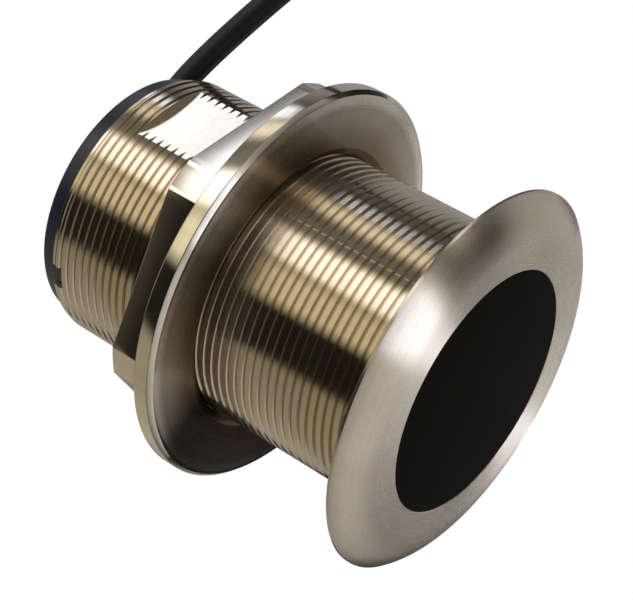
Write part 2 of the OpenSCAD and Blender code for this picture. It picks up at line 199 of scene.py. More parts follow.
class Wire:
    """A node's output that can be used in sums."""

    def __init__(self, tree, socket):
        self.tree = tree
        self.socket = socket

    __add__ = __radd__ = operation("ADD")
    __sub__ = operation("SUBTRACT")
    __rsub__ = operation("SUBTRACT", swapped=True)
    __mul__ = __rmul__ = operation("MULTIPLY")
    __truediv__ = operation("DIVIDE")
    __pow__ = operation("POWER")

    def clamped(self):
        return self.tree.math("ADD", self, 0.0, clamp=True)


class Tree:
    """A node tree whose nodes are all made by one method."""

    def __init__(self, node_tree):
        self.node_tree = node_tree

    def node(self, kind, settings=None, sockets=None, out=0):
        """Makes a node and gives the wire of one output, or a list of wires where several are named."""
        node = self.node_tree.nodes.new(kind)
        for name, value in (settings or {}).items():
            if name == "stops":
                ramp = node.color_ramp.elements
                while len(ramp) < len(value):
                    ramp.new(0.5)
                for element, (position, colour) in zip(ramp, value):
                    element.position = position
                    element.color = colour
            elif name == "choices":
                while len(node.index_switch_items) < value:
                    node.index_switch_items.new()
            else:
                setattr(node, name, value)
        self.feed(node, sockets or {})
        if isinstance(out, tuple):
            return [Wire(self, node.outputs[name]) for name in out]
        return Wire(self, node.outputs[out]) if len(node.outputs) else None

    def feed(self, node, sockets):
        """Sets a node's sockets to plain values, or links one or more wires to them."""
        for name, value in sockets.items():
            if isinstance(value, (Wire, list)):
                for wire in value if isinstance(value, list) else [value]:
                    self.node_tree.links.new(wire.socket, node.inputs[name])
            else:
                node.inputs[name].default_value = value

    def math(self, operation, *values, clamp=False):
        settings = {"operation": operation, "use_clamp": clamp}
        return self.node("ShaderNodeMath", settings, dict(enumerate(values)))

    def ramp(self, factor, low, high, start=0.0, end=1.0):
        sockets = {"Value": factor, "From Min": low, "From Max": high, "To Min": start, "To Max": end}
        return self.node("ShaderNodeMapRange", {"interpolation_type": "SMOOTHSTEP"}, sockets)

    def ramp_mm(self, factor, low, high, start=0.0, end=1.0):
        return self.ramp(factor, low * MM, high * MM, start, end)

    def blend(self, factor, first, second):
        return self.node("ShaderNodeMix", {"data_type": "RGBA"}, {0: factor, 6: first, 7: second}, out=2)

    def noise(self, vector, scale, detail=3.0, roughness=0.55):
        sockets = {"Vector": vector, "Scale": scale, "Detail": detail, "Roughness": roughness}
        return self.node("ShaderNodeTexNoise", {}, sockets)

    def bump(self, height, strength, distance):
        return self.node("ShaderNodeBump", {}, {"Strength": strength, "Distance": distance, "Height": height})

    def split(self, vector):
        return self.node("ShaderNodeSeparateXYZ", {}, {0: vector}, out=("X", "Y", "Z"))

    def join(self, x, y, z):
        return self.node("ShaderNodeCombineXYZ", {}, {0: x, 1: y, 2: z})


def rgb(red, green, blue):
    return (red, green, blue, 1.0)


def finish_material(name, base, paint, constants=None):
    """A material whose paint function gives the inputs that vary over the surface."""
    material = bpy.data.materials.new(name)
    material.use_nodes = True
    material.diffuse_color = base
    tree = Tree(material.node_tree)
    shader = material.node_tree.nodes["Principled BSDF"]
    tree.feed(shader, {"Base Color": base, **(constants or {})})
    tree.feed(shader, paint(tree, tree.node("ShaderNodeTexCoord", out="Object")))
    return material


def turned_bronze(name, light, dark, deep, gloss, worked):
    """Bronze off the lathe: fine rings round the axis, faint stains, and one zone with its own finish and a
    darker tone; on the nut that tone is painted shade.
    """

    def paint(tree, place):
        x, y, z = tree.split(place)
        radius = (x * x + y * y) ** 0.5
        drift = tree.noise(place, 90.0, 2.0) * 0.0002
        ring_place = tree.join(radius + drift, z + drift, 0.0)
        rings = tree.noise(ring_place, 2600.0, 2.0, 0.7)
        tool_marks = tree.noise(ring_place, 7000.0, 1.0, 0.5)
        grain = tree.noise(place, 1500.0, 3.0, 0.65)
        cloud = tree.noise(place, 60.0, 4.0, 0.6)
        stain = tree.ramp(cloud, 0.35, 0.75)
        mottle = stain * 0.55 + (rings - 0.5) * 0.35 + (grain - 0.5) * 0.3
        tone = tree.blend(mottle.clamped(), light, dark)
        zone, zone_gloss, zone_tone, zone_relief = worked(tree, x, radius, z)
        # Blends the zone towards deep; on the nut's clamping face this is painted shade
        tone = tree.blend(zone * zone_tone, tone, deep)
        rough = gloss + zone * (zone_gloss - gloss) + (cloud - 0.5) * 0.08 + (rings - 0.5) * 0.08
        relief = (rings * 0.35 + tool_marks * 0.5 + grain * 0.08) * (1 + zone * (zone_relief - 1))
        return {"Base Color": tone, "Roughness": rough, "Normal": tree.bump(relief, 1.0, 0.000015)}

    return finish_material(
        name, light, paint, {"Metallic": 1.0, "Anisotropic": 1.0, "Anisotropic Rotation": 0.25}
    )


def moulded(name, base, worn, gloss, grain_scale=900.0, relief=0.12, shine=0.5):
    """Moulded plastic, rubber or resin: fine grain, slight change of tone and of gloss."""

    def paint(tree, place):
        grain = tree.noise(place, grain_scale, 3.0, 0.6)
        cloud = tree.noise(place, 70.0, 3.0)
        wear = tree.ramp(cloud, 0.3, 0.75) * 0.7 + (grain - 0.5) * 0.4
        return {
            "Base Color": tree.blend(wear.clamped(), base, worn),
            "Roughness": gloss + (cloud - 0.5) * 0.18 + (grain - 0.5) * 0.15,
            "Normal": tree.bump(grain, relief, 0.0001),
        }

    return finish_material(name, base, paint, {"Specular IOR Level": shine})


def bright_metal(name, base, worn, gloss):
    """Small bright metal pieces such as pins and wire."""

    def paint(tree, place):
        grain = tree.noise(place, 2200.0, 3.0, 0.6)
        cloud = tree.noise(place, 260.0, 2.0)
        return {
            "Base Color": tree.blend(tree.ramp(cloud, 0.35, 0.7), base, worn),
            "Roughness": gloss + (grain - 0.5) * 0.2,
        }

    return finish_material(name, base, paint, {"Metallic": 1.0})


def woven_strap(name, base, thread):
    """Ribbed woven band for the coil's ties."""
    weave_rate = 5200.0

    def paint(tree, place):
        x, y, z = tree.split(place)
        weave = tree.math("SINE", (x + y) * weave_rate)
        fill = tree.math("SINE", z * weave_rate)
        rib = tree.ramp(weave * fill, -0.6, 0.6)
        fuzz = tree.noise(place, 1800.0, 3.0)
        return {
            "Base Color": tree.blend((rib * 0.6 + (fuzz - 0.5) * 0.5).clamped(), base, thread),
            "Roughness": 0.85 - rib * 0.15,
            "Normal": tree.bump(rib + fuzz * 0.4, 0.4, 0.0002),
        }

    return finish_material(name, base, paint)


def threaded_stem(tree, x, radius, z):
    """The thread is cut sharper than the face is turned, and the wrench flats are milled smooth."""
    thread = tree.ramp_mm(z, FLANGE_T, FLANGE_T + 0.6) * tree.ramp_mm(radius, STEM_R + 0.75, STEM_R + 0.15)
    off = tree.math("ABSOLUTE", tree.math("ABSOLUTE", x) - FLAT_R * MM)
    flat = tree.ramp_mm(off, 0.04, 0.02) * tree.ramp_mm(z, FLAT_HIGH + 0.1, FLAT_HIGH)
    return thread, 0.17 - flat * 0.04, 0.9 - flat * 0.9, 1 - flat * 0.85


def clamping_face(tree, _, radius, z):
    """The nut's clamping face gets painted shade, a darker brown that deepens towards the thread; hexagon and
    rim are smoother and get none.
    """
    rim_in, rim_out, shade_knee_r = NUT_FLANGE_R - 1.8, NUT_FLANGE_R - 1.2, 40.0
    front = tree.ramp_mm(z, NUT_SHELF - 0.6, NUT_SHELF - 1.1) * tree.ramp_mm(radius, rim_out, rim_in)
    hexagon = tree.ramp_mm(z, NUT_SHELF + 0.2, NUT_SHELF + 0.5)
    # Painted shade on the front face, darker towards the corner with the thread
    painted_shade = tree.ramp_mm(radius, rim_in, shade_knee_r, 0.0, 0.6)
    painted_shade = painted_shade + tree.ramp_mm(radius, shade_knee_r, NUT_THREAD_R + 1.2, 0.0, 0.4)
    polished = hexagon + tree.ramp_mm(radius, rim_in, rim_out)
    return front + polished, 0.26 - polished * 0.12, painted_shade * (1 - polished), 0.4 - polished * 0.1


DARK_BRONZE = rgb(0.55, 0.46, 0.35)
BRONZE = turned_bronze("turned_bronze", rgb(0.65, 0.56, 0.455), DARK_BRONZE, DARK_BRONZE, 0.28, threaded_stem)
# The nut's deep colour is painted shade, used near the thread on its clamping face
NUT_BRONZE = turned_bronze(
    "nut_bronze", rgb(0.72, 0.64, 0.54), rgb(0.55, 0.47, 0.36), rgb(0.21, 0.145, 0.085), 0.27, clamping_face
)
WINDOW_BLACK = moulded(
    "window_black", rgb(0.0035, 0.003, 0.0022), rgb(0.005, 0.004, 0.003), 0.6, 1400.0, 0.08, shine=0.02
)
CAP_BLACK = moulded("cap_black", rgb(0.005, 0.006, 0.011), rgb(0.010, 0.012, 0.020), 0.34, shine=0.4)
JACKET = moulded(
    "cable_jacket", rgb(0.006, 0.006, 0.008), rgb(0.012, 0.012, 0.015), 0.42, 1200.0, 0.10, shine=0.3
)
STRAP = woven_strap("tie_strap", rgb(0.018, 0.018, 0.020), rgb(0.045, 0.045, 0.048))
SHELL_BLACK = moulded("connector_black", rgb(0.020, 0.020, 0.023), rgb(0.036, 0.036, 0.040), 0.40)
INSERT_GREY = moulded("insert_grey", rgb(0.055, 0.055, 0.062), rgb(0.085, 0.085, 0.092), 0.5)
PIN_GOLD = bright_metal("pin_gold", rgb(0.83, 0.62, 0.28), rgb(0.74, 0.52, 0.22), 0.22)


# Meshes
def even_angles(count):
    return [2 * pi * i / count for i in range(count)]


COLUMNS = 144
ALL_ROUND = even_angles(COLUMNS)


def lathe(bm, profile, angles=ALL_ROUND, place=None, wave=None):
    """Turns a profile of (radius, height) points round +Z; a point on the axis becomes a pole."""
    rings = []
    for r, z in profile:
        if r < 1e-6:
            spots = [(0, 0, z)]
        else:
            spots = []
            for angle in angles:
                reach = r + (wave(angle, r, z) if wave else 0.0)
                spots.append((reach * cos(angle), reach * sin(angle), z))
        rings.append([bm.verts.new(place @ Vector(s) if place else s) for s in spots])
    for low, high in zip(rings, rings[1:]):
        for i in range(len(angles)):
            j = (i + 1) % len(angles)
            corners = [low[i % len(low)], low[j % len(low)], high[j % len(high)], high[i % len(high)]]
            unique = list(dict.fromkeys(corners))
            if len(unique) > 2:
                bm.faces.new(unique)


def join_loops(bm, loops):
    """Fills the strips between closed loops that have the same number of corners."""
    for low, high in zip(loops, loops[1:]):
        for i in range(len(low)):
            bm.faces.new([low[i - 1], low[i], high[i], high[i - 1]])


def rounded(corners, steps=5):
    """Rounds the corners of a profile; each corner is (radius, height) or (radius, height, rounding)."""
    points = []
    last = len(corners) - 1
    for i, corner in enumerate(corners):
        here = Vector(corner[:2])
        reach = corner[2] if len(corner) > 2 else 0
        if not reach or i in (0, last):
            points.append(tuple(here))
            continue
        back = (Vector(corners[i - 1][:2]) - here).normalized()
        ahead = (Vector(corners[i + 1][:2]) - here).normalized()
        half = back.angle(ahead) / 2
        middle = here + (back + ahead).normalized() * (reach / sin(half))
        start = here + back * (reach / tan(half)) - middle
        end = here + ahead * (reach / tan(half)) - middle
        sweep = start.angle_signed(end)
        for k in range(steps + 1):
            turn = Matrix.Rotation(-sweep * k / steps, 2)
            points.append(tuple(middle + turn @ start))
    return points


MERGE = 0.002


def finished(bm, sharp=30.0):
    """Closes a piece's mesh: metres, merged corners, outward faces and smooth shading up to an angle."""
    bmesh.ops.remove_doubles(bm, verts=bm.verts, dist=MERGE)
    bmesh.ops.dissolve_degenerate(bm, edges=bm.edges, dist=0.0005)
    bmesh.ops.recalc_face_normals(bm, faces=bm.faces)
    bmesh.ops.scale(bm, vec=(MM, MM, MM), verts=bm.verts)
    mesh = bpy.data.meshes.new("shape")
    bm.to_mesh(mesh)
    bm.free()
    shade(mesh, sharp)
    return mesh


def face_outwards(mesh):
    """Turns the faces of a closed mesh outwards."""
    bm = bmesh.new()
    bm.from_mesh(mesh)
    bmesh.ops.recalc_face_normals(bm, faces=bm.faces)
    bm.to_mesh(mesh)
    bm.free()


def shade(mesh, sharp):
    mesh.polygons.foreach_set("use_smooth", [True] * len(mesh.polygons))
    mesh.set_sharp_from_angle(angle=radians(sharp))


def add_piece(name, mesh, finish, node, body="transducer"):
    """Puts a finished mesh in the scene, in place of one solid of the frame."""
    mesh.name = name
    mesh.materials.clear()
    mesh.materials.append(finish)
    piece = put_in_scene(name, mesh)
    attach(piece, body)
    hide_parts(node)
    return piece


def box(bm, low, high):
    corners = [(x, y, z) for x in (low[0], high[0]) for y in (low[1], high[1]) for z in (low[2], high[2])]
    verts = [bm.verts.new(c) for c in corners]
    for face in ((0, 1, 3, 2), (4, 6, 7, 5), (0, 4, 5, 1), (2, 3, 7, 6), (0, 2, 6, 4), (1, 5, 7, 3)):
        bm.faces.new([verts[i] for i in face])


def from_nodes(group, finish, sizes):
    """Runs a shape tree with the given sizes and gives a plain mesh."""
    holder = put_in_scene("holder", bpy.data.meshes.new("holder"))
    run = holder.modifiers.new("shape", "NODES")
    run.node_group = group
    for item in group.interface.items_tree:
        if item.in_out == "INPUT":
            run[item.identifier] = finish if item.name == "Finish" else sizes[item.name]
    depsgraph = bpy.context.evaluated_depsgraph_get()
    mesh = bpy.data.meshes.new_from_object(holder.evaluated_get(depsgraph))
    holder.modifiers.remove(run)
    bpy.data.objects.remove(holder)
    return mesh


def shape_tree(name, floats, counts):
    """An empty shape tree with named sizes, and the wires of its inputs."""
    group = bpy.data.node_groups.new(name, "GeometryNodeTree")
    group.interface.new_socket(name="Shape", in_out="OUTPUT", socket_type="NodeSocketGeometry")
    kinds = {"NodeSocketFloat": floats, "NodeSocketInt": counts, "NodeSocketMaterial": ("Finish",)}
    for kind, labels in kinds.items():
        for label in labels:
            group.interface.new_socket(name=label, in_out="INPUT", socket_type=kind)
    tree = Tree(group)
    labels = (*floats, *counts, "Finish")
    return tree, dict(zip(labels, tree.node("NodeGroupInput", out=labels)))


def close_tree(tree, size, geometry):
    real = tree.node("GeometryNodeRealizeInstances", {}, {0: geometry})
    faced = tree.node("GeometryNodeSetMaterial", {}, {"Geometry": real, "Material": size["Finish"]})
    tree.node("NodeGroupOutput", {}, {0: faced})
    return tree.node_tree


def thread_tree():
    """Screw thread as a skin round +Z: it climbs one pitch a turn and is cut off at two heights."""
    tree, size = shape_tree(
        "screw_thread",
        ("Pitch", "Base", "Low", "High", "Groove Radius", "Crest Radius", "Crest Width", "Flank Width"),
        ("Columns", "Rows"),
    )
    grid = tree.node(
        "GeometryNodeMeshGrid",
        {},
        {"Size X": 1.0, "Size Y": 1.0, "Vertices X": size["Columns"] + 1, "Vertices Y": size["Rows"]},
    )
    x, y, _ = tree.split(tree.node("GeometryNodeInputPosition"))
    share = x + 0.5
    row = tree.math("ROUND", (y + 0.5) * (size["Rows"] - 1))
    whole = tree.math("FLOOR", row / 4)
    crest, flank, pitch = size["Crest Width"], size["Flank Width"], size["Pitch"]
    groove = pitch - crest - 2 * flank
    step = tree.node(
        "GeometryNodeIndexSwitch",
        {"data_type": "FLOAT", "choices": 4},
        {"Index": row - whole * 4, 1: 0.0, 2: crest, 3: crest + flank, 4: crest + flank + groove},
    )
    climb = size["Base"] + pitch * (whole + share - 1) + step
    height = tree.math("MINIMUM", tree.math("MAXIMUM", climb, size["Low"]), size["High"])
    turns = (height - size["Base"]) / pitch - share
    within = (turns - tree.math("FLOOR", turns + 0.00001)) * pitch
    fall = 1 - ((within - crest) / flank).clamped()
    rise = 1 - ((pitch - within) / flank).clamped()
    crown = tree.math("MAXIMUM", fall, rise)
    reach = size["Groove Radius"] + (size["Crest Radius"] - size["Groove Radius"]) * crown
    angle = share * (2 * pi)
    spot = tree.join(reach * tree.math("COSINE", angle), reach * tree.math("SINE", angle), height)
    skin = tree.node("GeometryNodeSetPosition", {}, {"Geometry": grid, "Position": spot})
    closed = tree.node("GeometryNodeMergeByDistance", {}, {"Geometry": skin, "Distance": 0.003})
    return close_tree(tree, size, closed)


def rib_tree():
    """A row of round ribs along +Z that change from one radius to another."""
    tree, size = shape_tree(
        "grip_ribs", ("Start", "Spacing", "Near Radius", "Far Radius", "Rib Radius"), ("Count",)
    )
    start, step = tree.join(0.0, 0.0, size["Start"]), tree.join(0.0, 0.0, size["Spacing"])
    line_sizes = {"Count": size["Count"], "Start Location": start, "Offset": step}
    line = tree.node("GeometryNodeMeshLine", {}, line_sizes)
    ring = tree.node("GeometryNodeCurvePrimitiveCircle", {}, {"Resolution": 64, "Radius": 1.0})
    share = tree.node("GeometryNodeInputIndex") / (size["Count"] - 1)
    reach = size["Near Radius"] + (size["Far Radius"] - size["Near Radius"]) * share
    scale = tree.join(reach, reach, 1.0)
    rings = tree.node("GeometryNodeInstanceOnPoints", {}, {"Points": line, "Instance": ring, "Scale": scale})
    section = tree.node(
        "GeometryNodeCurvePrimitiveCircle", {}, {"Resolution": 12, "Radius": size["Rib Radius"]}
    )
    loose = tree.node("GeometryNodeRealizeInstances", {}, {0: rings})
    ribs = tree.node("GeometryNodeCurveToMesh", {}, {"Curve": loose, "Profile Curve": section})
    return close_tree(tree, size, ribs)


def pin_tree():
    """One contact pin on the axis and a ring of them round it, each a ball drawn out along +Z."""
    tree, size = shape_tree("contact_pins", ("Reach", "Pin Radius", "Pin Length"), ("Count",))
    circle = tree.node("GeometryNodeMeshCircle", {}, {"Vertices": size["Count"], "Radius": size["Reach"]})
    middle = tree.node("GeometryNodeMeshLine", {}, {"Count": 1})
    places = tree.node("GeometryNodeJoinGeometry", {}, {0: [circle, middle]})
    radius = size["Pin Radius"]
    ball = tree.node("GeometryNodeMeshUVSphere", {}, {"Segments": 20, "Rings": 12, "Radius": radius})
    _, _, height = tree.split(tree.node("GeometryNodeInputPosition"))
    upper = tree.math("GREATER_THAN", height, 0.0001)
    stretch = tree.join(0.0, 0.0, radius + upper * (size["Pin Length"] - 2 * radius))
    pin = tree.node("GeometryNodeSetPosition", {}, {"Geometry": ball, "Offset": stretch})
    pins = tree.node("GeometryNodeInstanceOnPoints", {}, {"Points": places, "Instance": pin})
    return close_tree(tree, size, pins)


SCREW_THREAD = thread_tree()
GRIP_RIBS = rib_tree()
CONTACT_PINS = pin_tree()


def thread_skin(groove_r, crest_r, low, high):
    base = low - PITCH * 0.35
    turns = int((high - base) / PITCH) + 3
    sizes = {
        "Pitch": PITCH, "Base": base, "Low": low, "High": high,
        "Groove Radius": groove_r, "Crest Radius": crest_r, "Crest Width": CREST_W, "Flank Width": FLANK_W,
        "Columns": COLUMNS, "Rows": 4 * turns + 1,
    }
    return from_nodes(SCREW_THREAD, BRONZE, sizes)


def add_ribs(bm, finish, place, sizes):
    ribs = from_nodes(GRIP_RIBS, finish, sizes)
    ribs.transform(place)
    bm.from_mesh(ribs)


def open_rings(bm, z):
    """The open edges near one height, as rings of corners by bearing, the inner or lower ring first."""
    near, seam = 0.6, 0.01
    edges = {e for e in bm.edges if e.is_boundary and all(abs(v.co.z - z) < near for v in e.verts)}
    rings = []
    while edges:
        ring = set()
        joined = {edges.pop()}
        while joined:
            edges -= joined
            ring |= {v for e in joined for v in e.verts}
            joined = {e for e in edges if ring & set(e.verts)}
        rings.append(sorted(ring, key=lambda v: (atan2(v.co.y, v.co.x) + seam) % (2 * pi)))
    return sorted(rings, key=lambda ring: ring[0].co.length)


def bridge_at(bm, z):
    """Joins the two open rings near one height, corner to corner."""
    bmesh.ops.remove_doubles(bm, verts=bm.verts, dist=MERGE)
    join_loops(bm, open_rings(bm, z))


def cut_away(mesh, cutters):
    """Takes closed cutter shapes away from a closed mesh."""
    body = put_in_scene("body", mesh)
    tools = [put_in_scene("tool", cutter) for cutter in cutters]
    for tool in tools:
        cut = body.modifiers.new("cut", "BOOLEAN")
        cut.operation = "DIFFERENCE"
        cut.solver = "EXACT"
        cut.object = tool
    depsgraph = bpy.context.evaluated_depsgraph_get()
    result = bpy.data.meshes.new_from_object(body.evaluated_get(depsgraph))
    for item in [body] + tools:
        bpy.data.objects.remove(item)
    return result


# The cable: one smooth line out of the relief, down to the coil, round it and on to the connector
def smooth_line(points, spacing):
    line = []
    for i in range(len(points) - 1):
        p0 = points[max(i - 1, 0)]
        p1, p2 = points[i], points[i + 1]
        p3 = points[min(i + 2, len(points) - 1)]
        steps = max(2, round((p2 - p1).length / spacing))
        bend = 2 * p0 - 5 * p1 + 4 * p2 - p3
        twist = 3 * p1 - p0 - 3 * p2 + p3
        for k in range(steps):
            t = k / steps
            line.append(0.5 * (2 * p1 + (p2 - p0) * t + bend * t * t + twist * t * t * t))
    return line + [points[-1]]


def shaped_route(shape, start, end):
    """A route between two points in one lane, whose shape is given as shares of the way out and up."""
    out, rise = end[0] - start[0], end[2] - start[2]
    return [Vector((start[0] + a * out, start[1], start[2] + b * rise)) for a, b in shape]


def ease(t):
    t = min(max(t, 0.0), 1.0)
    return t * t * (3 - 2 * t)


def coil_line(steps_per_turn=40):
    """Turns side by side in layers from the top down, which run inwards and outwards alternately."""
    layer_turns = COIL_TURNS / COIL_LAYERS
    rest_turns = (layer_turns - (COIL_COLUMNS - 1)) / 2
    change = 0.3
    line = []
    total = round(COIL_TURNS * steps_per_turn)
    for i in range(total + 1):
        turn = COIL_TURNS * i / total
        layer = min(int(turn / layer_turns), COIL_LAYERS - 1)
        inside = turn - layer * layer_turns
        share = min(max((inside - rest_turns) / (COIL_COLUMNS - 1), 0), 1)
        if layer % 2:
            share = 1 - share
        r = OUTER_TURN_R + share * (INNER_TURN_R - OUTER_TURN_R)
        drop = layer
        if layer > 0 and inside < change:
            drop = layer - 1 + ease(0.5 + inside / change / 2)
        if layer < COIL_LAYERS - 1 and layer_turns - inside < change:
            drop = layer + ease(0.5 - (layer_turns - inside) / change / 2)
        angle = -pi / 2 + 2 * pi * turn
        z = TOP_TURN_Z - drop * CABLE_D
        line.append(Vector((COIL_OUT + r * cos(angle), COIL_LANE + r * sin(angle), z)))
    return line


def cable_line():
    in_relief, in_boot, spacing = 8, 4, 2.5
    start = Vector((RELIEF_END - in_relief, CABLE_LANE, EXIT_Z))
    fall = shaped_route(
        FALL_SHAPE, (RELIEF_END + STRAIGHT_L, CABLE_LANE, EXIT_Z), (COIL_OUT, CABLE_LANE, TOP_TURN_Z)
    )
    rise = shaped_route(
        RISE_SHAPE, (COIL_OUT, CONNECTOR_LANE, LOW_TURN_Z), (CONNECTOR_OUT, CONNECTOR_LANE, CONNECTOR_Z)
    )
    end = Vector((CONNECTOR_OUT - in_boot, CONNECTOR_LANE, CONNECTOR_Z))
    out_line = smooth_line([start, Vector((RELIEF_END, CABLE_LANE, EXIT_Z))] + fall, spacing)
    lead_line = smooth_line(rise + [end], spacing)
    return out_line[:-1] + coil_line() + lead_line[1:]


def make_cable():
    points = [TO_CABLE @ p * MM for p in cable_line()]
    data = bpy.data.curves.new("cable_cord", "CURVE")
    data.dimensions = "3D"
    data.bevel_depth = CABLE_R * MM
    data.bevel_resolution = 3
    data.use_fill_caps = True
    spline = data.splines.new("POLY")
    spline.points.add(len(points) - 1)
    spline.points.foreach_set("co", [c for p in points for c in (*p, 1.0)])
    spline.use_smooth = True
    data.materials.append(JACKET)
    cord = put_in_scene("cable_cord", data)
    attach(cord, "transducer")
    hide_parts("cable", "cable_coil", "cable_lead")
    return cord


cable = make_cable()


# Housing: flange, threaded stem, wrench flats and keyway
def crown_profile(steps=14):
    """Rounded front of the flange, from its flat face out to the rim."""
    drop, edge_in, edge_up = FLANGE_T - RIM_T, 0.02, 0.12
    points = []
    for i in range(steps + 1):
        r = FACE_FLAT_R + (FLANGE_R - FACE_FLAT_R) * sin(pi / 2 * i / steps)
        points.append((r, CROWN_R - sqrt(CROWN_R**2 - (r - FACE_FLAT_R) ** 2)))
    return points[:-1] + [(FLANGE_R - edge_in, drop - edge_in), (FLANGE_R, drop + edge_up)]


def make_housing():
    rim_edge, window_edge, land_edge, foot_gap, land_gap = 0.15, 0.18, 0.3, 0.25, 0.05
    thread_end = LAND_Z - 0.45
    crown = crown_profile()[::-1]
    flange = [(STEM_R + foot_gap, FLANGE_T), (FLANGE_R - rim_edge, FLANGE_T), (FLANGE_R, FLANGE_T - rim_edge)]
    window_seat = [
        (WINDOW_R + window_edge, 0), (WINDOW_R, window_edge), (WINDOW_R, WINDOW_T), (BORE_R, WINDOW_T),
    ]
    rear_end = [
        (BORE_R, STEM_L), (LAND_R - land_edge, STEM_L), (LAND_R, STEM_L - land_edge),
        (LAND_R, LAND_Z + land_gap),
    ]
    bm = bmesh.new()
    bm.from_mesh(thread_skin(GROOVE_R, STEM_R, FLANGE_T, thread_end))
    lathe(bm, flange + crown[:1])
    lathe(bm, crown + window_seat)
    lathe(bm, [(BORE_R, WINDOW_T), (BORE_R, STEM_L)])
    lathe(bm, rear_end)
    bridge_at(bm, FLANGE_T)
    bridge_at(bm, (thread_end + LAND_Z + land_gap) / 2)
    whole = finished(bm)
    reach, half, key_back, above = 40, 35, 10, 5
    cuts = [((side * FLAT_R, -half, FLAT_LOW), (side * reach, half, FLAT_HIGH)) for side in (1, -1)]
    cuts.append(((-KEY_W / 2, -reach, STEM_L - KEY_DEPTH), (KEY_W / 2, -key_back, STEM_L + above)))
    cutters = []
    for low, high in cuts:
        bm = bmesh.new()
        box(bm, low, high)
        cutters.append(finished(bm))
    mesh = cut_away(whole, cutters)
    face_outwards(mesh)
    shade(mesh, 25)
    for face in mesh.polygons:
        if abs(face.normal.x) > 0.999 and abs(abs(face.center.x) - FLAT_R * MM) < 1e-5:
            face.use_smooth = False
    add_piece("bronze_housing", mesh, BRONZE, "housing")


make_housing()


# Hull nut: washer flange, turned hexagon and a threaded bore with running clearance
def hex_angles():
    """Bearings that meet every edge between a flat and the turned corner beside it, as many as all round."""
    flat_steps, arc_steps = 18, 6
    half = degrees(atan2(sqrt(NUT_CORNER_R**2 - NUT_FLAT_R**2), NUT_FLAT_R))
    angles = []
    for side in range(6):
        middle = 60 * side
        angles += [middle - half + 2 * half * k / flat_steps for k in range(flat_steps)]
        angles += [middle + half + (60 - 2 * half) * k / arc_steps for k in range(arc_steps)]
    return [radians(a) for a in angles]


def hex_reach(angle, inset):
    off = (degrees(angle) + 30) % 60 - 30
    return min(NUT_CORNER_R - inset, (NUT_FLAT_R - inset) / cos(radians(off)))


def make_nut():
    bm = bmesh.new()
    angles = hex_angles()

    def loop_at(z, reach):
        return [bm.verts.new((reach(a) * cos(a), reach(a) * sin(a), z)) for a in angles]

    foot, edge, washer_edge = 0.35, 0.3, 0.3
    hexagon = [
        (NUT_SHELF, -foot), (NUT_SHELF + 0.12, -0.14), (NUT_SHELF + foot, 0.0),
        (NUT_TOP - edge, 0.0), (NUT_TOP - edge * 0.3, edge * 0.3), (NUT_TOP, edge),
    ]
    loops = [loop_at(NUT_SHELF, lambda a: NUT_SHELF_R)]
    for z, inset in hexagon:
        loops.append(loop_at(z, lambda a: hex_reach(a, inset)))
    loops.append(loop_at(NUT_TOP, lambda a: NUT_LIP_R))
    join_loops(bm, loops)
    washer = rounded([
        (NUT_SHELF_R, NUT_SHELF), (NUT_FLANGE_R, NUT_SHELF, foot),
        (NUT_FLANGE_R, NUT_LOW + NUT_BEVEL, washer_edge), (NUT_FLANGE_R - NUT_BEVEL, NUT_LOW, washer_edge),
        (NUT_LIP_R, NUT_LOW),
    ])
    throat_r, throat = NUT_BORE_R + 0.3, NUT_LIP_H - 0.15
    lathe(bm, washer, angles)
    lathe(bm, [(NUT_LIP_R, NUT_LOW), (throat_r, NUT_LOW + throat)], angles)
    lathe(bm, [(throat_r, NUT_TOP - throat), (NUT_LIP_R, NUT_TOP)], angles)
    bm.from_mesh(thread_skin(NUT_THREAD_R, NUT_BORE_R, NUT_LOW + NUT_LIP_H, NUT_TOP - NUT_LIP_H))
    bridge_at(bm, NUT_LOW + NUT_LIP_H)
    bridge_at(bm, NUT_TOP - NUT_LIP_H)
    add_piece("bronze_hull_nut", finished(bm, 24), NUT_BRONZE, "hull_nut", "nut")


make_nut()


# Acoustic window with a softened edge, bonded flush into the face
def make_window():
    sunk, gap, softening = 0.02, 0.05, 0.25
    edge = WINDOW_R - gap
    bm = bmesh.new()
    lathe(bm, rounded([(0, sunk), (edge, sunk, softening), (edge, WINDOW_T), (0, WINDOW_T)]))
    add_piece("face_window", finished(bm), WINDOW_BLACK, "acoustic_window")


make_window()


# Rear cap: rounded plate, key and the hump that turns the cable outwards
def hump_loop(half, z, lead):
    """Outline of the hump at one height: round behind, square at its mouth."""
    back_steps, side_steps, corner_steps = 24, 12, 6
    corner = min(1.0, half * 0.8)
    mouth = HUMP_MOUTH + lead - corner
    side_xs = [HUMP_BACK + (mouth - HUMP_BACK) * k / side_steps for k in range(1, side_steps)]
    turns = [pi / 2 * k / corner_steps for k in range(corner_steps + 1)]
    bends = [(mouth + corner * sin(t), half - corner + corner * cos(t)) for t in turns]
    spots = []
    for k in range(back_steps + 1):
        angle = pi / 2 + pi * k / back_steps
        spots.append((HUMP_BACK + half * cos(angle), half * sin(angle)))
    spots += [(x, -half) for x in side_xs]
    spots += [(x, -y) for x, y in bends]
    spots += bends[::-1]
    spots += [(x, half) for x in side_xs[::-1]]
    return [TO_CABLE @ Vector((x, y + CABLE_LANE, z)) for x, y in spots]


def hump_levels():
    """Half widths and heights of the hump, from its flared foot to its round top."""
    foot, sunk, shoulder = 1.8, 0.05, 1.4
    foot_steps, top_steps, top_turn = 6, 14, radians(88)
    levels = []
    for k in range(foot_steps + 1):
        angle = pi / 2 * k / foot_steps
        levels.append((HUMP_R + foot * (1 - sin(angle)), CAP_TOP - sunk + foot * (1 - cos(angle))))
    levels += [(HUMP_R, CAP_TOP + foot + shoulder), (HUMP_R, EXIT_Z)]
    for k in range(1, top_steps + 1):
        angle = top_turn * k / top_steps
        levels.append((HUMP_R * cos(angle), EXIT_Z + HUMP_R * sin(angle)))
    return levels


